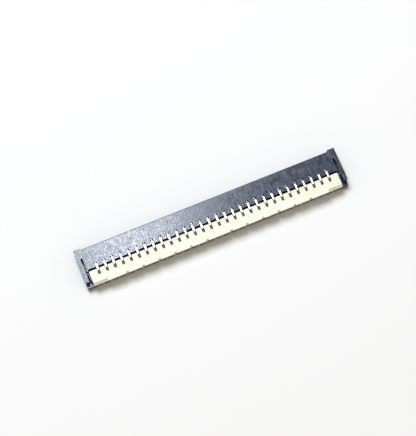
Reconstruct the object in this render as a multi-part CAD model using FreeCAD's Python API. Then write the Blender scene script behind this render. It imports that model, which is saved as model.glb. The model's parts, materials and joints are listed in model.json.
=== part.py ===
import FreeCAD, Part
import math
import os

# Back-flip connector for a flexible printed circuit: a black moulded housing, a cream flip lever at
# its back and a row of stamped contacts. Millimetres. X runs along the contact row, +Y points out of
# the mouth where the flexible circuit enters, +Z points up from the circuit board, and the origin is
# at the middle of the footprint on the board. The lever is modelled shut, lying over the solder tails.

# Contact row
contact_count = 30
pitch = 0.50
contact_thickness = 0.10

# Outside of the housing
end_margin = 0.98            # from the last contact's middle to the widest point of the end face
end_taper_front = 0.015      # how far the end face draws in at the mouth
end_taper_back = 0.02        # and at the back
wall_back_setback = 0.09     # the end walls' back face stands in from the lever's free edge

# Mouth
circuit_side_gap = 0.025     # each side of the flexible circuit
circuit_slot_bottom = 0.28
circuit_slot_height = 0.34
mouth_setback = 0.085        # the roof's front edge stands back from the end walls
mouth_lead_in = 0.07
groove_lip = 0.12            # closed wall in front of each contact groove

# Roof and lever bay
roof_length = 1.267          # front edge to back edge of the roof
roof_thickness = 0.31        # above the circuit slot
roof_drop = 0.01             # the roof lies this much below the end blocks
end_block_width = 0.40       # width of the raised end block on top
roof_skin = 0.10             # roof left above each contact groove
edge_chamfer = 0.04
notch_length = 0.317         # open notch in the roof's back edge over each contact
notch_width = 0.15
floor_setback = 0.03         # the floor's back edge stands in from the end walls
contact_side_gap = 0.005     # between a contact and its groove, each side
contact_seat = 0.05          # height of the groove bottom above the board
tail_window_gap = 0.03       # between the contact's foot and the front of the groove's open underside

# Hold-down slits in the end walls
slit_inset = 0.24            # skin outside the slit
slit_width = 0.11
slit_front_setback = 0.605   # from the end walls' front face to the slit's end
slit_floor = 0.12
wall_step_setback = 0.245    # the last stretch of each end wall is a low solid block
wall_step_top = 0.42
foot_window_setback = 0.06   # from that block to the window under the hold-down
foot_window_length = 0.42

# Pivot of the lever
pivot_setback = 0.213        # behind the roof's back edge
pivot_height = 0.70

# Lever
lever_sweep_gap = 0.02       # between the swinging lever and the roof
lever_reach = 0.83           # from the pivot back to the free edge
lever_underside = 0.45
lever_nose = 0.10            # how far the ribs reach in front of the pivot
lever_step = 0.015           # the rear band is this much thicker than the slotted band
lever_step_setback = 0.34    # the step lies this far behind the pivot
lever_edge_radius = 0.03
lever_undercut = 0.11        # how far the free edge's underside leans in
lever_rib_cut = 0.05         # corner cut off each rib, below the nose
lever_end_gap = 0.19         # from the inside of the wall's skin to the lever's end
lever_side_gap = 0.03        # between the lever's end and the end wall
slot_width = 0.17
slot_reach = 0.27            # slot end behind the pivot
slot_corner = 0.04           # cut off each corner of the slot's end
bar_radius = 0.095           # round top of the cam bar
lobe_reach = 0.23            # the lobe's flat foot lies this far below the pivot
lobe_foot_half = 0.05
lobe_shoulder_reach = 0.155
lobe_shoulder_half = 0.085
pin_radius = 0.085
pin_end_gap = 0.015          # between the pin's end and the wall's skin
pin_side_gap = 0.015         # between the pin and its channel
edge_notch_width = 0.16
edge_notch_depth = 0.11
edge_notches_per_side = 6
edge_notch_first = 1.5       # pitches from the middle
edge_notch_step = 2          # pitches
bevel_length = 0.875         # bevelled stretch of the free edge at each end
bevel_run = 0.18
bevel_drop = 0.20

# Contact outline
cam_gap = 0.015              # between the cam bar and the metal round it
hook_thickness = 0.11
hook_bearing_front = 60.0    # the hook's round bearing face, in degrees round the pivot
hook_bearing_back = 95.0
hook_reach = 0.035           # how far the hook's end reaches behind the pivot
saddle_flat_half = 0.06      # flat middle of the saddle under the cam bar
saddle_half = 0.12           # and its raised ends
saddle_rise = 0.03
tip_setback = 0.16           # contact tips behind the roof's front edge
tip_cut = 0.04               # corners cut off the contact's ends
beam_top_gap = 0.01          # between the upper beam and the top of its groove
upper_beam_height = 0.12
upper_jaw_setback = 0.26
upper_jaw_reach = 0.07       # into the circuit slot
lower_beam_top = 0.19
lower_jaw_setback = 0.36
lower_jaw_reach = 0.05       # into the circuit slot
jaw_tip_half = 0.025
jaw_base_half = 0.09
web_back_gap = 0.36          # from the pivot to the web
web_width = 0.25
web_front_gap = 0.03         # from the web to the wall that stops the circuit
web_fillet = 0.05            # corners of the web
dip_front_gap = 0.02         # the dip in front of the arm starts inside the roof
dip_depth = 0.14
arm_front = 0.14             # the arm's top starts this far behind the front of the roof's notch
arm_rise = 0.04
tail_height = 0.13
tail_flat = 0.18             # level stretch of the tail's top, behind the slope
tail_length = 0.27           # stretch of the tail that stands on the board

# Hold-down
hold_down_thickness = 0.10
hold_down_front_gap = 0.04
hold_down_block_top = 0.40
hold_down_arm_height = 0.155 # above the pivot
hold_down_arm_front = 60.0   # degrees round the pivot where the arm's round top starts
hold_down_arm_end = 150.0    # and where it ends
hold_down_gap = 0.015
hold_down_foot_gap = 0.02
hold_down_lower_arm_top = 0.30
hold_down_cradle_back = 0.16

# Places that follow from the sizes above
first_contact_x = -pitch * (contact_count - 1) / 2
half_length = pitch * (contact_count - 1) / 2 + end_margin
circuit_width = pitch * (contact_count + 1)
overall_depth = mouth_setback + roof_length + pivot_setback + lever_reach
front_y = overall_depth / 2
roof_front_y = front_y - mouth_setback
roof_back_y = roof_front_y - roof_length
pivot_y = roof_back_y - pivot_setback
lever_back_y = pivot_y - lever_reach
back_y = lever_back_y + wall_back_setback
floor_back_y = back_y + floor_setback
web_back = pivot_y + web_back_gap
web_front = web_back + web_width
stop_y = web_front + web_front_gap
slot_half = circuit_width / 2 + circuit_side_gap
slot_top = circuit_slot_bottom + circuit_slot_height
roof_top = slot_top + roof_thickness
housing_height = roof_top + roof_drop
groove_top = roof_top - roof_skin
notch_front = roof_back_y + notch_length
slit_outer = half_length - slit_inset
slit_inner = slit_outer - slit_width
slit_front_y = front_y - slit_front_setback
wall_step_y = back_y + wall_step_setback
foot_window_back = wall_step_y + foot_window_setback
foot_window_front = foot_window_back + foot_window_length
sweep_radius = pivot_setback - lever_sweep_gap
lever_half = slit_outer - lever_end_gap
bay_half = lever_half + lever_side_gap
saddle_top = pivot_height - lobe_reach - cam_gap
saddle_end_top = saddle_top + saddle_rise
tail_slope_end = pivot_y - saddle_half - (saddle_end_top - tail_height)
tail_end = tail_slope_end - tail_flat
tail_front = tail_end + tail_length
overshoot = 1.0              # cutting shapes reach this far past the part
tall = housing_height + overshoot


def at(y, z):
    return FreeCAD.Vector(0, y, z)


def round_pivot(radius, degrees):
    """The point at a radius and an angle round the lever's axis. 0 degrees points to the mouth, 90 up."""
    turn = math.radians(degrees)
    return at(pivot_y + radius * math.cos(turn), pivot_height + radius * math.sin(turn))


class Outline:
    """A closed outline in the plane across the contact row, made of straight lines and arcs."""

    def __init__(self, start):
        self.start = start
        self.point = start
        self.edges = []

    def line(self, *ends):
        for end in ends:
            self.edges.append(Part.LineSegment(self.point, end).toShape())
            self.point = end
        return self

    def arc(self, through, end):
        self.edges.append(Part.Arc(self.point, through, end).toShape())
        self.point = end
        return self

    def solid(self, x_from, x_to):
        """The outline pushed along the row from one X to the other."""
        if (self.point - self.start).Length > 1e-7:
            self.line(self.start)
        face = Part.Face(Part.Wire(self.edges))
        face.translate(FreeCAD.Vector(x_from, 0, 0))
        return face.extrude(FreeCAD.Vector(x_to - x_from, 0, 0))


def block(x_from, x_to, y_from, y_to, z_from, z_to):
    corner = FreeCAD.Vector(x_from, y_from, z_from)
    return Part.makeBox(x_to - x_from, y_to - y_from, z_to - z_from, corner)


def mirrored(shape):
    """The same piece at the other end of the row."""
    return shape.mirror(FreeCAD.Vector(0, 0, 0), FreeCAD.Vector(1, 0, 0))


def both_ends(shape):
    return [shape, mirrored(shape)]


def contact_places():
    return [first_contact_x + pitch * index for index in range(contact_count)]


def housing_block():
    """The housing's outside: its end faces are widest beside the pivot and draw in to front and back."""
    front_half = half_length - end_taper_front
    back_half = half_length - end_taper_back
    right = [(front_half, front_y), (half_length, pivot_y), (back_half, back_y)]
    left = [(-x, y) for x, y in reversed(right)]
    corners = [FreeCAD.Vector(x, y, 0) for x, y in right + left]
    face = Part.Face(Part.makePolygon(corners + corners[:1]))
    return face.extrude(FreeCAD.Vector(0, 0, housing_height))


def circuit_mouth():
    """The slot for the flexible circuit, with lead-in bevels, and the step in front of the roof."""
    ahead = front_y + overshoot
    outline = Outline(at(stop_y, circuit_slot_bottom))
    outline.line(
        at(front_y - mouth_lead_in, circuit_slot_bottom),
        at(front_y, circuit_slot_bottom - mouth_lead_in),
        at(ahead, circuit_slot_bottom - mouth_lead_in),
        at(ahead, tall),
        at(roof_front_y, tall),
        at(roof_front_y, slot_top + mouth_lead_in),
        at(roof_front_y - mouth_lead_in, slot_top),
        at(stop_y, slot_top),
    )
    return outline.solid(-slot_half, slot_half)


def lever_bay():
    """The open space behind the roof in which the lever lies and turns."""
    behind = back_y - overshoot
    over_floor = block(-bay_half, bay_half, behind, roof_back_y, circuit_slot_bottom, tall)
    behind_floor = block(-bay_half, bay_half, behind, floor_back_y, -overshoot, tall)
    return over_floor.fuse(behind_floor)


def pin_channel():
    """The channel, open at the top, that the lever's pin takes through the right end wall."""
    half = pin_radius + pin_side_gap
    return block(lever_half, slit_outer, pivot_y - half, pivot_y + half, pivot_height - half, tall)


def wall_step():
    """Lowers the last stretch of both end walls to a block."""
    return block(-half_length, half_length, back_y - overshoot, wall_step_y, wall_step_top, tall)


def roof_relief():
    """Lowers the roof between the end blocks and bevels its front edge."""
    half = half_length - end_block_width
    lowered = block(-half, half, roof_back_y - overshoot, front_y + overshoot, roof_top, tall)
    bevel = Outline(at(roof_front_y + edge_chamfer, roof_top + edge_chamfer))
    bevel.line(
        at(roof_front_y - 2 * edge_chamfer, roof_top + edge_chamfer),
        at(roof_front_y - edge_chamfer, roof_top),
        at(roof_front_y, roof_top - edge_chamfer),
        at(roof_front_y + edge_chamfer, roof_top - edge_chamfer),
    )
    return [lowered, bevel.solid(-slot_half, slot_half)]


def hold_down_slit():
    """The slit in the right end wall, with a window under the hold-down's foot."""
    slit = block(slit_inner, slit_outer, wall_step_y, slit_front_y, slit_floor, tall)
    window = block(slit_inner, slit_outer, foot_window_back, foot_window_front, -overshoot, tall)
    return slit.fuse(window)


def contact_groove(x):
    """The groove that holds one contact: closed at the mouth, open to the back and under the tail."""
    half = contact_thickness / 2 + contact_side_gap
    groove_front = roof_front_y - groove_lip
    window_front = tail_front + contact_seat + tail_window_gap
    behind = back_y - overshoot
    outline = Outline(at(groove_front, contact_seat))
    outline.line(
        at(groove_front, groove_top),
        at(notch_front, groove_top),
        at(notch_front, tall),
        at(behind, tall),
        at(behind, -overshoot),
        at(window_front, -overshoot),
        at(window_front, contact_seat),
    )
    return outline.solid(x - half, x + half)


def roof_notch(x):
    """The wider open notch in the roof's back edge, through which the contact's arm shows."""
    half = notch_width / 2
    bottom = pivot_height + bar_radius
    return block(x - half, x + half, roof_back_y - overshoot, notch_front, bottom, tall)


def make_housing():
    cuts = [circuit_mouth(), lever_bay(), wall_step()]
    cuts += roof_relief()
    cuts += both_ends(pin_channel())
    cuts += both_ends(hold_down_slit())
    for x in contact_places():
        cuts.append(contact_groove(x))
        cuts.append(roof_notch(x))
    return housing_block().cut(cuts)


def lever_plate_outline():
    """Section of the lever between its slots: nose, round front edge, stepped top, undercut free edge."""
    nose_y = pivot_y + lever_nose
    nose_rise = math.degrees(math.acos(lever_nose / sweep_radius))
    band_top = pivot_height + sweep_radius
    top = band_top + lever_step
    step_y = pivot_y - lever_step_setback
    radius = lever_edge_radius
    corner = radius * (1 - math.sqrt(0.5))
    outline = Outline(at(nose_y, pivot_height))
    outline.line(round_pivot(sweep_radius, nose_rise))
    outline.arc(round_pivot(sweep_radius, (nose_rise + 90) / 2), round_pivot(sweep_radius, 90))
    outline.line(at(step_y, band_top), at(step_y - lever_step, top), at(lever_back_y + radius, top))
    outline.arc(at(lever_back_y + corner, top - corner), at(lever_back_y, top - radius))
    outline.line(
        at(lever_back_y + lever_undercut, lever_underside),
        at(nose_y - lever_rib_cut, lever_underside),
        at(nose_y, lever_underside + lever_rib_cut),
    )
    return outline


def cam_bar_outline():
    """Section of the bar under the contacts' hooks: round on top, with a lobe that points down when shut."""
    shoulder = pivot_height - lobe_shoulder_reach
    foot = pivot_height - lobe_reach
    outline = Outline(round_pivot(bar_radius, 0))
    outline.arc(round_pivot(bar_radius, 90), round_pivot(bar_radius, 180))
    outline.line(
        at(pivot_y - lobe_shoulder_half, shoulder),
        at(pivot_y - lobe_foot_half, foot),
        at(pivot_y + lobe_foot_half, foot),
        at(pivot_y + lobe_shoulder_half, shoulder),
    )
    return outline


def lever_slot(x):
    """One slot in the lever's front band, with its corners cut at the closed end."""
    half = slot_width / 2
    end_y = pivot_y - slot_reach
    ahead = pivot_y + overshoot
    left = [(x - half, ahead), (x - half, end_y + slot_corner), (x - half + slot_corner, end_y)]
    right = [(2 * x - across, y) for across, y in reversed(left)]
    corners = [FreeCAD.Vector(across, y, 0) for across, y in left + right]
    face = Part.Face(Part.makePolygon(corners + corners[:1]))
    return face.extrude(FreeCAD.Vector(0, 0, tall))


def edge_notch(x):
    half = edge_notch_width / 2
    notch_end = lever_back_y + edge_notch_depth
    return block(x - half, x + half, lever_back_y - overshoot, notch_end, 0, tall)


def end_bevel():
    """Slopes the top of the free edge down over the last stretch at the right end."""
    top = pivot_height + sweep_radius + lever_step
    outline = Outline(at(lever_back_y + bevel_run, top))
    outline.line(
        at(lever_back_y + bevel_run, tall),
        at(lever_back_y - bevel_run, tall),
        at(lever_back_y - bevel_run, top - bevel_drop),
        at(lever_back_y, top - bevel_drop),
    )
    return outline.solid(lever_half - bevel_length, half_length)


def make_lever():
    plate = lever_plate_outline().solid(-lever_half, lever_half)
    cuts = [lever_slot(x) for x in contact_places()]
    for index in range(edge_notches_per_side):
        offset = pitch * (edge_notch_first + edge_notch_step * index)
        cuts += [edge_notch(offset), edge_notch(-offset)]
    cuts += both_ends(end_bevel())
    pin_half = slit_outer - pin_end_gap
    pins = Part.makeCylinder(
        pin_radius,
        2 * pin_half,
        FreeCAD.Vector(-pin_half, pivot_y, pivot_height),
        FreeCAD.Vector(1, 0, 0),
    )
    bar = cam_bar_outline().solid(-lever_half, lever_half)
    return plate.cut(cuts).fuse([bar, pins]).removeSplitter()


def make_contact(x):
    """One stamped contact: two jaws to the mouth, a hook over the cam bar, a saddle and a solder tail."""
    tip_y = roof_front_y - tip_setback
    upper_jaw_y = roof_front_y - upper_jaw_setback
    lower_jaw_y = roof_front_y - lower_jaw_setback
    upper_jaw_z = slot_top - upper_jaw_reach
    lower_jaw_z = circuit_slot_bottom + lower_jaw_reach
    arm_y = notch_front - arm_front
    beam_top = groove_top - beam_top_gap
    beam_bottom = beam_top - upper_beam_height
    dip = beam_top - dip_depth
    inner = bar_radius + cam_gap
    arm_top = pivot_height + inner + hook_thickness
    lip = round_pivot(inner, hook_bearing_back)
    outline = Outline(at(tip_y, beam_bottom + tip_cut))
    outline.line(
        at(tip_y, beam_top - tip_cut),
        at(tip_y - tip_cut, beam_top),
        at(notch_front + dip_front_gap, beam_top),
        at(notch_front, dip),
        at(arm_y + arm_rise, dip),
        at(arm_y, arm_top),
        at(pivot_y, arm_top),
        at(pivot_y - hook_reach, arm_top - hook_reach),
        at(pivot_y - hook_reach, lip.z),
        lip,
    )
    outline.arc(
        round_pivot(inner, (hook_bearing_back + hook_bearing_front) / 2),
        round_pivot(inner, hook_bearing_front),
    )
    outline.line(
        at(web_back, dip),
        at(web_back, lower_beam_top + web_fillet),
        at(web_back - web_fillet, lower_beam_top),
        at(pivot_y + saddle_half, lower_beam_top),
        at(pivot_y + saddle_half, saddle_end_top),
        at(pivot_y + saddle_flat_half, saddle_top),
        at(pivot_y - saddle_flat_half, saddle_top),
        at(pivot_y - saddle_half, saddle_end_top),
        at(tail_slope_end, tail_height),
        at(tail_end + tip_cut, tail_height),
        at(tail_end, tail_height - tip_cut),
        at(tail_end, 0),
        at(tail_front, 0),
        at(tail_front + contact_seat, contact_seat),
        at(tip_y, contact_seat),
        at(tip_y, lower_beam_top - tip_cut),
        at(lower_jaw_y + jaw_base_half, lower_beam_top),
        at(lower_jaw_y + jaw_tip_half, lower_jaw_z),
        at(lower_jaw_y - jaw_tip_half, lower_jaw_z),
        at(lower_jaw_y - jaw_base_half, lower_beam_top),
        at(web_front, lower_beam_top),
        at(web_front, beam_bottom - web_fillet),
        at(web_front + web_fillet, beam_bottom),
        at(upper_jaw_y - jaw_base_half, beam_bottom),
        at(upper_jaw_y - jaw_tip_half, upper_jaw_z),
        at(upper_jaw_y + jaw_tip_half, upper_jaw_z),
    )
    half = contact_thickness / 2
    return outline.solid(x - half, x + half)


def make_hold_down():
    """The stamped hold-down at the right end: a cradle round the lever's pin, and a solder foot."""
    middle = (slit_inner + slit_outer) / 2
    half = hold_down_thickness / 2
    inner = pin_radius + hold_down_gap
    outer = hold_down_arm_height
    block_front = slit_front_y - hold_down_front_gap
    cradle_front = pivot_y + inner + hold_down_arm_height / 2
    foot_front = foot_window_front - hold_down_foot_gap
    foot_back = foot_window_back + hold_down_foot_gap
    cradle_back = pivot_y - hold_down_cradle_back
    outline = Outline(at(block_front, slit_floor))
    outline.line(
        at(block_front, hold_down_block_top - edge_chamfer),
        at(block_front - edge_chamfer, hold_down_block_top),
        at(roof_back_y, hold_down_block_top),
        at(cradle_front, pivot_height),
    )
    outline.line(round_pivot(outer, hold_down_arm_front))
    outline.arc(round_pivot(outer, 90), round_pivot(outer, hold_down_arm_end))
    outline.line(round_pivot(inner, hold_down_arm_end))
    outline.arc(round_pivot(inner, (hold_down_arm_end - 90) / 2), round_pivot(inner, -90))
    outline.line(
        at(cradle_back, pivot_height - inner),
        at(cradle_back - hold_down_cradle_back, hold_down_lower_arm_top),
        at(foot_back, hold_down_lower_arm_top),
        at(foot_back, 0),
        at(foot_front, 0),
        at(foot_front, slit_floor),
    )
    return outline.solid(middle - half, middle + half)


def save(shape, name):
    solids = shape.Solids
    if not shape.isValid() or len(solids) != 1:
        raise ValueError(name + " should be one sound solid, and has " + str(len(solids)))
    solids[0].exportStep(os.path.join("parts", name + ".step"))


os.makedirs("parts", exist_ok=True)
save(make_housing(), "housing")
save(make_lever(), "flip_lever")
for number, place in enumerate(contact_places(), start=1):
    save(make_contact(place), "contact_%02d" % number)
right_hold_down = make_hold_down()
save(right_hold_down, "hold_down_right")
save(mirrored(right_hold_down), "hold_down_left")
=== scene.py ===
import json
import math

import bmesh
import bpy
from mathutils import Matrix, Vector


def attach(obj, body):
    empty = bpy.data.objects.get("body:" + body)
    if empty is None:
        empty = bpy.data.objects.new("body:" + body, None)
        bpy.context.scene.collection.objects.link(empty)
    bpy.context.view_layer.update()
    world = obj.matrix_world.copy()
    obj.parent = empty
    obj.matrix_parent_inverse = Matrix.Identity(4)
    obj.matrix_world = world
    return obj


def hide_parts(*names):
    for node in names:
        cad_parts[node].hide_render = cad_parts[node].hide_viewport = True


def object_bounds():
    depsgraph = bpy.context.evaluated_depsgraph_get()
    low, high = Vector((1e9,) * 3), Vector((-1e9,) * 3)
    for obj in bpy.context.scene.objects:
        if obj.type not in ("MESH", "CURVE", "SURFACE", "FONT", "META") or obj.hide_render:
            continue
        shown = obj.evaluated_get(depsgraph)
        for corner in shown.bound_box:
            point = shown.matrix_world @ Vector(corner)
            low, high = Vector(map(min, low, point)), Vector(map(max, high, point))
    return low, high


bl_info = {
    "name": "Back-flip circuit connector",
    "version": (1, 0, 0),
    "blender": (4, 5, 0),
    "location": "View3D > Sidebar > Connector",
    "description": "Finishes the moulded and stamped pieces of a flexible circuit connector",
    "category": "Object",
}

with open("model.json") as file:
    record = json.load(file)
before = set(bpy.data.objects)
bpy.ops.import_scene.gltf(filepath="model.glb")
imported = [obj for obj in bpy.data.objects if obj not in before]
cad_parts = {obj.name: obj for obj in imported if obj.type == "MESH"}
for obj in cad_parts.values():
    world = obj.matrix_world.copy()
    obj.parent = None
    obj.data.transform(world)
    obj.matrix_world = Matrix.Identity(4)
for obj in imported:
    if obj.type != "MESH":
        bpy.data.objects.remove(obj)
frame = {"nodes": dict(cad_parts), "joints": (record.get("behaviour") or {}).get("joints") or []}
cad_low, cad_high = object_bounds()

MM = 0.001

# The photograph's frame, and where it shows the middle of the connector
FRAME_WIDTH = 416
FRAME_HEIGHT = 436
SENSOR_WIDTH = 36.0
MIDDLE_PIXEL = (212.02, 219.38)
PIXELS_PER_MM = 17.12

# The camera sees from its distance divided by this to its distance times this
CLIP_RATIO = 100

# Rounding of the pieces
WELD_DISTANCE = 0.0002 * MM
FLAT_ANGLE = math.radians(1.0)
SHARP_ANGLE = math.radians(30.0)
ROUNDING_STEPS = 2

# Surfaces of the pieces and the floor
HOUSING_REFRACTION = 1.55
LEVER_REFRACTION = 1.5
LEVER_MOTTLE = 0.12
LEVER_GRAIN_DEPTH = 0.0012 * MM
# Width over which the painted shade on the cam bar fades out
CAM_BAR_SHADE_FADE = 0.02 * MM
PLATING_MOTTLE = 0.2
PLATING_GRAIN_DEPTH = 0.0010 * MM
DULL_PATCH_SHARE = 0.86
PAPER_SHADE_SHARE = 0.99

# The lever's axis and the repeated nodes
PIVOT = Vector(frame["joints"][0]["pos_m"])
CONTACT_NODES = sorted(node for node in frame["nodes"] if node.startswith("contact_"))
HOLD_DOWN_NODES = sorted(node for node in frame["nodes"] if node.startswith("hold_down_"))


class Wire:
    """A socket of a shader node that takes part in Python arithmetic."""

    def __init__(self, recipe, socket):
        self.recipe = recipe
        self.socket = socket

    def __add__(self, other):
        return self.recipe.maths("ADD", self, other)

    def __radd__(self, other):
        return self.recipe.maths("ADD", other, self)

    def __sub__(self, other):
        return self.recipe.maths("SUBTRACT", self, other)

    def __rsub__(self, other):
        return self.recipe.maths("SUBTRACT", other, self)

    def __mul__(self, other):
        return self.recipe.maths("MULTIPLY", self, other)

    def __rmul__(self, other):
        return self.recipe.maths("MULTIPLY", other, self)

    def clipped(self, low, high):
        """The value moved from low..high to 0..1 and held there."""
        return self.recipe.node(
            "ShaderNodeMapRange",
            {"clamp": True},
            {"Value": self, "From Min": low, "From Max": high},
        )


class Recipe:
    """Builds the nodes of one material or of the world."""

    def __init__(self, owner):
        owner.use_nodes = True
        self.tree = owner.node_tree
        self.tree.nodes.clear()

    def node(self, kind, settings=None, sockets=None, output=0):
        """Adds a node, makes its settings first and then its sockets, and gives one of its outputs."""
        made = self.tree.nodes.new(kind)
        for name, value in (settings or {}).items():
            setattr(made, name, value)
        for name, value in (sockets or {}).items():
            if isinstance(value, Wire):
                self.tree.links.new(value.socket, made.inputs[name])
            else:
                made.inputs[name].default_value = value
        return Wire(self, made.outputs[output]) if made.outputs else None

    def maths(self, operation, first, second):
        """Puts two values through one Math node."""
        return self.node("ShaderNodeMath", {"operation": operation}, {0: first, 1: second})

    def colours(self, share, first, second):
        """Mixes two colours by a share from 0 to 1."""
        return self.node(
            "ShaderNodeMix",
            {"data_type": "RGBA"},
            {"Factor": share, 6: first, 7: second},
            output=2,
        )

    def place(self, stretch=(1.0, 1.0, 1.0)):
        """The place on the piece, in metres, with each direction stretched."""
        here = self.node("ShaderNodeTexCoord", output="Object")
        return self.node("ShaderNodeVectorMath", {"operation": "MULTIPLY"}, {0: here, 1: stretch})

    def noise(self, grain, detail=2.0, stretch=(1.0, 1.0, 1.0)):
        """Noise whose grains are about the given size, in metres."""
        return self.node(
            "ShaderNodeTexNoise",
            {"noise_dimensions": "3D"},
            {"Vector": self.place(stretch), "Scale": 1.0 / grain, "Detail": detail},
        )

    def bump(self, height, depth):
        """The normal of a surface with the given relief, its depth in metres."""
        return self.node("ShaderNodeBump", sockets={"Distance": depth, "Height": height})

    def surface(self, sockets):
        """Ends the recipe with a Principled surface."""
        shader = self.node("ShaderNodeBsdfPrincipled", sockets=sockets)
        self.node("ShaderNodeOutputMaterial", sockets={"Surface": shader})


def opaque(colour, factor=1.0):
    """A colour for a socket, each of its parts times the given factor."""
    return tuple(min(1.0, factor * value) for value in colour) + (1.0,)


def black_moulding(look):
    """Satin black moulding compound: bright filler speckle, faint flow streaks and soft dark patches."""
    material = bpy.data.materials.new("black_moulding")
    recipe = Recipe(material)
    speckle = recipe.noise(0.07 * MM, detail=3.0, stretch=(1.0, 0.8, 1.0))
    streaks = recipe.noise(0.15 * MM, detail=2.0, stretch=(1.0, 0.35, 1.0))
    patches = recipe.noise(0.32 * MM, detail=2.0, stretch=(1.0, 0.8, 1.0))
    dark = opaque(look.moulding_colour)
    pale = opaque(look.moulding_colour, look.moulding_paleness)
    shades = (0.25 * speckle + 0.30 * streaks + 0.45 * patches).clipped(0.38, 0.62)
    sheen = (0.6 * speckle + 0.4 * streaks).clipped(0.3, 0.7)
    recipe.surface({
        "Base Color": recipe.colours(shades, dark, pale),
        "Roughness": look.moulding_roughness + look.moulding_mottle * (sheen - 0.5),
        "IOR": HOUSING_REFRACTION,
        "Normal": recipe.bump(0.7 * speckle + 0.3 * streaks, look.moulding_relief * MM),
    })
    return material


def cream_moulding(look):
    """Cream moulding compound, yellower in soft clouds, finely grained, with painted shade in olive on
    the cam bar inside the slots.
    """
    material = bpy.data.materials.new("cream_moulding")
    recipe = Recipe(material)
    # Painted shade: near the pivot, where the cam bar lies in shade inside the slots, the cream turns
    # olive
    here = recipe.place()
    away = recipe.node("ShaderNodeVectorMath", {"operation": "SUBTRACT"}, {0: here, 1: PIVOT})
    flat = recipe.node("ShaderNodeVectorMath", {"operation": "MULTIPLY"}, {0: away, 1: (0.0, 1.0, 1.0)})
    radius = recipe.node("ShaderNodeVectorMath", {"operation": "LENGTH"}, {0: flat}, output="Value")
    off_bar = radius.clipped(look.cam_bar_shade_radius, look.cam_bar_shade_radius + CAM_BAR_SHADE_FADE)
    clouds = recipe.noise(0.55 * MM, detail=3.0)
    grain = recipe.noise(0.035 * MM, detail=3.0)
    white = opaque(look.lever_colour)
    yellow = opaque(look.lever_shade)
    painted_slot_shade = opaque(look.cam_bar_painted_shade)
    clouded = recipe.colours(clouds.clipped(0.45, 0.75), white, yellow)
    recipe.surface({
        "Base Color": recipe.colours(off_bar, painted_slot_shade, clouded),
        "Roughness": look.lever_roughness + LEVER_MOTTLE * grain,
        "IOR": LEVER_REFRACTION,
        "Subsurface Weight": 0.12,
        "Subsurface Radius": (1.0, 0.8, 0.5),
        "Subsurface Scale": 0.06 * MM,
        "Normal": recipe.bump(grain, LEVER_GRAIN_DEPTH),
    })
    return material


def plating(name, colour, roughness):
    """Plated metal with fine drawing lines along the strip and soft dull patches."""
    material = bpy.data.materials.new(name)
    recipe = Recipe(material)
    lines = recipe.noise(0.012 * MM, detail=2.0, stretch=(1.0, 0.12, 1.0))
    patches = recipe.noise(0.07 * MM, detail=3.0)
    bright = opaque(colour)
    dull = opaque(colour, DULL_PATCH_SHARE)
    recipe.surface({
        "Base Color": recipe.colours(patches.clipped(0.4, 0.7), bright, dull),
        "Metallic": 1.0,
        "Roughness": roughness + PLATING_MOTTLE * (patches - 0.5),
        "Normal": recipe.bump(0.7 * lines + 0.3 * patches, PLATING_GRAIN_DEPTH),
    })
    return material


def pale_floor(look):
    """Matt white paper with a faint tooth."""
    material = bpy.data.materials.new("pale_floor")
    recipe = Recipe(material)
    tooth = recipe.noise(0.4 * MM, detail=3.0)
    white = opaque(look.floor_colour)
    shade = opaque(look.floor_colour, PAPER_SHADE_SHARE)
    recipe.surface({
        "Base Color": recipe.colours(tooth, white, shade),
        "Roughness": 0.9,
        "Specular IOR Level": 0.1,
    })
    return material


def keep_flat_faces_flat(mesh):
    """Gives each corner the mean normal of the faces round it, the larger faces counting for more."""
    sums = [Vector() for _ in mesh.vertices]
    for face in mesh.polygons:
        for vertex in face.vertices:
            sums[vertex] += face.normal * face.area / MM ** 2
    mesh.normals_split_custom_set_from_vertices([total.normalized() for total in sums])


def rounded_copy(node, name, rounding):
    """A new piece in the shape of a CAD node, with its flat faces joined and its edges rounded."""
    mesh = bpy.data.meshes.new(name)
    shape = bmesh.new()
    shape.from_mesh(frame["nodes"][node].data)
    bmesh.ops.remove_doubles(shape, verts=shape.verts, dist=WELD_DISTANCE)
    bmesh.ops.dissolve_limit(
        shape,
        angle_limit=FLAT_ANGLE,
        verts=shape.verts,
        edges=shape.edges,
    )
    for face in shape.faces:
        face.smooth = True
    shape.to_mesh(mesh)
    shape.free()
    piece = bpy.data.objects.new(name, mesh)
    bpy.context.scene.collection.objects.link(piece)
    edges = piece.modifiers.new("rounded edges", "BEVEL")
    edges.width = rounding
    edges.segments = ROUNDING_STEPS
    edges.limit_method = "ANGLE"
    edges.angle_limit = SHARP_ANGLE
    edges.use_clamp_overlap = True
    depsgraph = bpy.context.evaluated_depsgraph_get()
    rounded = bpy.data.meshes.new_from_object(piece.evaluated_get(depsgraph))
    piece.modifiers.clear()
    piece.data = rounded
    keep_flat_faces_flat(rounded)
    return piece


def finish_piece(node, name, body, material, rounding):
    """Rounds one CAD node, gives it its material and puts it on its body in the node's place."""
    piece = rounded_copy(node, name, rounding)
    piece.data.materials.append(material)
    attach(piece, body)
    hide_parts(node)


def floor_sheet(look):
    """A wide floor under the connector."""
    half = look.floor_size / 2
    mesh = bpy.data.meshes.new("floor")
    corners = [(-half, -half, 0.0), (half, -half, 0.0), (half, half, 0.0), (-half, half, 0.0)]
    mesh.from_pydata(corners, [], [(0, 1, 2, 3)])
    mesh.materials.append(pale_floor(look))
    floor = bpy.data.objects.new("floor", mesh)
    bpy.context.scene.collection.objects.link(floor)


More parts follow.
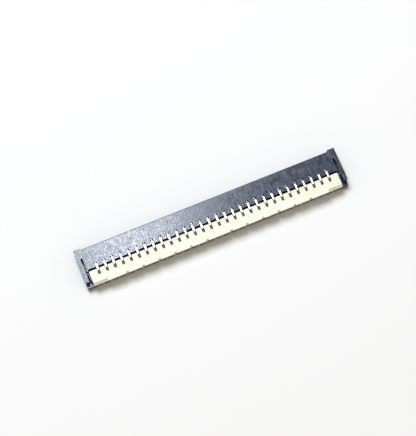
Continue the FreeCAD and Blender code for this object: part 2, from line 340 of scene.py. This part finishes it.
def softbox(name, turn, rise, distance, size, level, colour, aim):
    """A square lamp that adds the given level to a white surface that lies flat at the aim."""
    away = Vector((math.sin(turn) * math.cos(rise), math.cos(turn) * math.cos(rise), math.sin(rise)))
    lamp = bpy.data.lights.new(name, "AREA")
    lamp.shape = "SQUARE"
    lamp.size = size
    lamp.color = colour
    lamp.energy = level * (math.pi * distance) ** 2 / math.sin(rise)
    holder = bpy.data.objects.new(name, lamp)
    holder.location = aim + away * distance
    holder.rotation_mode = "QUATERNION"
    holder.rotation_quaternion = (-away).to_track_quat("-Z", "Y")
    bpy.context.scene.collection.objects.link(holder)


def studio_world(look):
    """Even, slightly warm sky light, shown white to the camera."""
    world = bpy.data.worlds.new("studio")
    bpy.context.scene.world = world
    recipe = Recipe(world)
    seen = recipe.node("ShaderNodeLightPath", output="Is Camera Ray")
    warm = opaque(look.sky_colour, look.sky_level)
    colour = recipe.colours(seen, warm, (1.0, 1.0, 1.0, 1.0))
    shader = recipe.node("ShaderNodeBackground", sockets={"Color": colour, "Strength": 1.0})
    recipe.node("ShaderNodeOutputWorld", sockets={"Surface": shader})


def photo_camera(look):
    """The camera in the photograph's place, framed on the connector as the photograph is."""
    distance = look.camera_distance
    turn = look.camera_azimuth
    rise = look.camera_elevation
    back = Vector((math.sin(turn) * math.cos(rise), -math.cos(turn) * math.cos(rise), math.sin(rise)))
    facing = (-back).to_track_quat("-Z", "Y")
    right = facing @ Vector((1.0, 0.0, 0.0))
    up = facing @ Vector((0.0, 1.0, 0.0))
    pixel = MM / PIXELS_PER_MM
    aim = (cad_low + cad_high) / 2
    aim -= right * (MIDDLE_PIXEL[0] - FRAME_WIDTH / 2) * pixel
    aim += up * (MIDDLE_PIXEL[1] - FRAME_HEIGHT / 2) * pixel
    camera = bpy.data.cameras.new("photo_camera")
    camera.sensor_width = SENSOR_WIDTH
    camera.lens = SENSOR_WIDTH * (distance / pixel) / max(FRAME_WIDTH, FRAME_HEIGHT)
    camera.clip_start = distance / CLIP_RATIO
    camera.clip_end = distance * CLIP_RATIO
    holder = bpy.data.objects.new("photo_camera", camera)
    holder.location = aim + back * distance
    holder.rotation_mode = "QUATERNION"
    holder.rotation_quaternion = facing
    bpy.context.scene.collection.objects.link(holder)
    bpy.context.scene.camera = holder


class ConnectorLook(bpy.types.PropertyGroup):
    """Finishes of the connector's pieces."""

    moulding_colour: bpy.props.FloatVectorProperty(
        name="Housing colour",
        description="Darkest colour of the black moulding",
        subtype="COLOR",
        min=0.0,
        max=1.0,
        default=(0.011, 0.014, 0.026),
    )
    moulding_paleness: bpy.props.FloatProperty(
        name="Housing paleness",
        description="How many times paler the pale streaks are than the darkest colour",
        default=5.0,
    )
    moulding_roughness: bpy.props.FloatProperty(
        name="Housing roughness",
        description="Middle roughness of the black moulding",
        subtype="FACTOR",
        default=0.20,
    )
    moulding_mottle: bpy.props.FloatProperty(
        name="Housing mottle",
        description="How far the roughness of the black moulding swings",
        subtype="FACTOR",
        default=0.16,
    )
    moulding_relief: bpy.props.FloatProperty(
        name="Housing relief",
        description="Depth of the grain of the black moulding, in millimetres",
        default=0.0040,
        precision=4,
    )
    lever_colour: bpy.props.FloatVectorProperty(
        name="Lever colour",
        description="Main colour of the cream moulding",
        subtype="COLOR",
        min=0.0,
        max=1.0,
        default=(0.93, 0.925, 0.80),
    )
    lever_shade: bpy.props.FloatVectorProperty(
        name="Lever shade",
        description="Yellower colour in the clouds of the cream moulding",
        subtype="COLOR",
        min=0.0,
        max=1.0,
        default=(0.89, 0.90, 0.69),
    )
    lever_roughness: bpy.props.FloatProperty(
        name="Lever roughness",
        description="Lowest roughness of the cream moulding",
        subtype="FACTOR",
        default=0.42,
    )
    # Colour of the painted shade on the cam bar inside the lever's slots
    cam_bar_painted_shade: bpy.props.FloatVectorProperty(
        name="Cam bar colour",
        description="Colour of the shaded cam bar inside the lever's slots",
        subtype="COLOR",
        min=0.0,
        max=1.0,
        default=(0.34, 0.30, 0.15),
    )
    # Reach of the painted shade round the pivot
    cam_bar_shade_radius: bpy.props.FloatProperty(
        name="Cam bar radius",
        description="Reach of the cam bar's colour round the pivot",
        subtype="DISTANCE",
        unit="LENGTH",
        default=0.105 * MM,
        precision=6,
    )
    contact_colour: bpy.props.FloatVectorProperty(
        name="Contact colour",
        description="Colour of the bright plating on the contacts",
        subtype="COLOR",
        min=0.0,
        max=1.0,
        default=(0.91, 0.915, 0.905),
    )
    contact_roughness: bpy.props.FloatProperty(
        name="Contact roughness",
        description="Middle roughness of the bright plating on the contacts",
        subtype="FACTOR",
        default=0.30,
    )
    # The hold-downs' duller finish is their own; their near-black colour is painted shade for the narrow
    # slits
    hold_down_shaded_colour: bpy.props.FloatVectorProperty(
        name="Hold-down colour",
        description="Colour of the duller plating on the hold-downs",
        subtype="COLOR",
        min=0.0,
        max=1.0,
        default=(0.13, 0.13, 0.12),
    )
    hold_down_roughness: bpy.props.FloatProperty(
        name="Hold-down roughness",
        description="Middle roughness of the duller plating on the hold-downs",
        subtype="FACTOR",
        default=0.50,
    )
    rounding: bpy.props.FloatProperty(
        name="Edge rounding",
        description="Width of the rounded edges on the moulded pieces",
        subtype="DISTANCE",
        unit="LENGTH",
        default=0.012 * MM,
        precision=6,
    )
    stamping_rounding: bpy.props.FloatProperty(
        name="Stamping rounding",
        description="Width of the rounded edges on the stamped pieces",
        subtype="DISTANCE",
        unit="LENGTH",
        default=0.010 * MM,
        precision=6,
    )


class ConnectorStage(bpy.types.PropertyGroup):
    """Floor, light and camera round the connector."""

    floor_colour: bpy.props.FloatVectorProperty(
        name="Floor colour",
        description="Colour of the floor",
        subtype="COLOR",
        min=0.0,
        max=1.0,
        default=(0.97, 0.97, 0.965),
    )
    floor_size: bpy.props.FloatProperty(
        name="Floor size",
        description="Length of each side of the floor",
        subtype="DISTANCE",
        unit="LENGTH",
        default=1.0,
    )
    sky_level: bpy.props.FloatProperty(
        name="Sky level",
        description="Share of the light on a white surface that comes from the even sky",
        subtype="FACTOR",
        default=0.38,
    )
    sky_colour: bpy.props.FloatVectorProperty(
        name="Sky colour",
        description="Colour of the even sky light, which fills the shadows",
        subtype="COLOR",
        min=0.0,
        max=1.0,
        default=(1.0, 0.89, 0.73),
    )
    lamp_colour: bpy.props.FloatVectorProperty(
        name="Lamp colour",
        description="Colour of the softboxes, which makes up for the warm sky",
        subtype="COLOR",
        min=0.0,
        max=1.0,
        default=(0.85, 0.91, 1.0),
    )
    key_level: bpy.props.FloatProperty(
        name="Key level",
        description="Share of the light that comes from the large softbox on the mouth's side",
        subtype="FACTOR",
        default=0.66,
    )
    key_azimuth: bpy.props.FloatProperty(
        name="Key azimuth",
        description="Direction of the large softbox round the connector, 0 before the mouth",
        subtype="ANGLE",
        unit="ROTATION",
        default=math.radians(-10.0),
    )
    key_elevation: bpy.props.FloatProperty(
        name="Key elevation",
        description="Height of the large softbox above the horizon",
        subtype="ANGLE",
        unit="ROTATION",
        default=math.radians(62.5),
    )
    key_distance: bpy.props.FloatProperty(
        name="Key distance",
        description="Distance of the large softbox from the middle of the connector",
        subtype="DISTANCE",
        unit="LENGTH",
        default=250 * MM,
    )
    key_size: bpy.props.FloatProperty(
        name="Key size",
        description="Length of each side of the large softbox",
        subtype="DISTANCE",
        unit="LENGTH",
        default=90 * MM,
    )
    sheen_level: bpy.props.FloatProperty(
        name="Sheen level",
        description="Share of the light that comes from the small softbox that the roof reflects",
        subtype="FACTOR",
        default=0.105,
    )
    sheen_azimuth: bpy.props.FloatProperty(
        name="Sheen azimuth",
        description="Direction of the small softbox round the connector, 0 before the mouth",
        subtype="ANGLE",
        unit="ROTATION",
        default=math.radians(2.0),
    )
    sheen_elevation: bpy.props.FloatProperty(
        name="Sheen elevation",
        description="Height of the small softbox above the horizon",
        subtype="ANGLE",
        unit="ROTATION",
        default=math.radians(76.0),
    )
    sheen_distance: bpy.props.FloatProperty(
        name="Sheen distance",
        description="Distance of the small softbox from the middle of the connector",
        subtype="DISTANCE",
        unit="LENGTH",
        default=140 * MM,
    )
    sheen_size: bpy.props.FloatProperty(
        name="Sheen size",
        description="Length of each side of the small softbox",
        subtype="DISTANCE",
        unit="LENGTH",
        default=10 * MM,
    )
    camera_azimuth: bpy.props.FloatProperty(
        name="Camera azimuth",
        description="Direction of the camera round the connector, 0 behind the lever",
        subtype="ANGLE",
        unit="ROTATION",
        default=math.radians(-22.41),
    )
    camera_elevation: bpy.props.FloatProperty(
        name="Camera elevation",
        description="Height of the camera above the horizon",
        subtype="ANGLE",
        unit="ROTATION",
        default=math.radians(75.58),
    )
    camera_distance: bpy.props.FloatProperty(
        name="Camera distance",
        description="Distance of the camera from the middle of the connector",
        subtype="DISTANCE",
        unit="LENGTH",
        default=100 * MM,
    )


class CONNECTOR_OT_housing(bpy.types.Operator):
    """Finish the black housing"""

    bl_idname = "connector.housing"
    bl_label = "Housing"

    def execute(self, context):
        look = context.scene.connector_look
        material = black_moulding(look)
        finish_piece("housing", "housing_moulding", "connector_body", material, look.rounding)
        return {"FINISHED"}


class CONNECTOR_OT_flip_lever(bpy.types.Operator):
    """Finish the cream flip lever"""

    bl_idname = "connector.flip_lever"
    bl_label = "Flip lever"

    def execute(self, context):
        look = context.scene.connector_look
        material = cream_moulding(look)
        finish_piece("flip_lever", "flip_lever_moulding", "lever", material, look.rounding)
        return {"FINISHED"}


class CONNECTOR_OT_contacts(bpy.types.Operator):
    """Finish the row of stamped contacts"""

    bl_idname = "connector.contacts"
    bl_label = "Contacts"

    def execute(self, context):
        look = context.scene.connector_look
        material = plating("bright_plating", look.contact_colour, look.contact_roughness)
        for node in CONTACT_NODES:
            name = node + "_stamping"
            finish_piece(node, name, "connector_body", material, look.stamping_rounding)
        return {"FINISHED"}


class CONNECTOR_OT_hold_downs(bpy.types.Operator):
    """Finish the stamped hold-downs in the end walls, their duller plating darkened with painted shade
    """

    bl_idname = "connector.hold_downs"
    bl_label = "Hold-downs"

    def execute(self, context):
        look = context.scene.connector_look
        # Duller plating, its colour darkened with painted shade
        material = plating("shaded_dull_plating", look.hold_down_shaded_colour, look.hold_down_roughness)
        for node in HOLD_DOWN_NODES:
            name = node + "_stamping"
            finish_piece(node, name, "connector_body", material, look.stamping_rounding)
        return {"FINISHED"}


class CONNECTOR_OT_stage(bpy.types.Operator):
    """Set out the floor, the soft light and the camera"""

    bl_idname = "connector.stage"
    bl_label = "Stage"

    def execute(self, context):
        look = context.scene.connector_stage
        context.scene.view_settings.view_transform = "Standard"
        aim = (cad_low + cad_high) / 2
        floor_sheet(look)
        studio_world(look)
        softbox(
            "key_softbox",
            look.key_azimuth,
            look.key_elevation,
            look.key_distance,
            look.key_size,
            look.key_level,
            look.lamp_colour,
            aim,
        )
        softbox(
            "sheen_softbox",
            look.sheen_azimuth,
            look.sheen_elevation,
            look.sheen_distance,
            look.sheen_size,
            look.sheen_level,
            look.lamp_colour,
            aim,
        )
        photo_camera(look)
        return {"FINISHED"}


class CONNECTOR_PT_panel(bpy.types.Panel):
    """Lists the connector's pieces and their finishes."""

    bl_idname = "CONNECTOR_PT_panel"
    bl_label = "Circuit connector"
    bl_space_type = "VIEW_3D"
    bl_region_type = "UI"
    bl_category = "Connector"

    def draw(self, context):
        layout = self.layout
        for operator in OPERATORS:
            layout.operator(operator.bl_idname)
        for group in (context.scene.connector_look, context.scene.connector_stage):
            box = layout.box()
            for name in group.__annotations__:
                box.prop(group, name)


OPERATORS = (
    CONNECTOR_OT_housing,
    CONNECTOR_OT_flip_lever,
    CONNECTOR_OT_contacts,
    CONNECTOR_OT_hold_downs,
    CONNECTOR_OT_stage,
)
CLASSES = (ConnectorLook, ConnectorStage) + OPERATORS + (CONNECTOR_PT_panel,)


def register():
    for each in CLASSES:
        bpy.utils.register_class(each)
    bpy.types.Scene.connector_look = bpy.props.PointerProperty(type=ConnectorLook)
    bpy.types.Scene.connector_stage = bpy.props.PointerProperty(type=ConnectorStage)


def unregister():
    del bpy.types.Scene.connector_stage
    del bpy.types.Scene.connector_look
    for each in reversed(CLASSES):
        bpy.utils.unregister_class(each)


def main():
    """Makes every piece and the stage."""
    register()
    bpy.ops.connector.housing()
    bpy.ops.connector.flip_lever()
    bpy.ops.connector.contacts()
    bpy.ops.connector.hold_downs()
    bpy.ops.connector.stage()


if __name__ == "__main__":
    main()
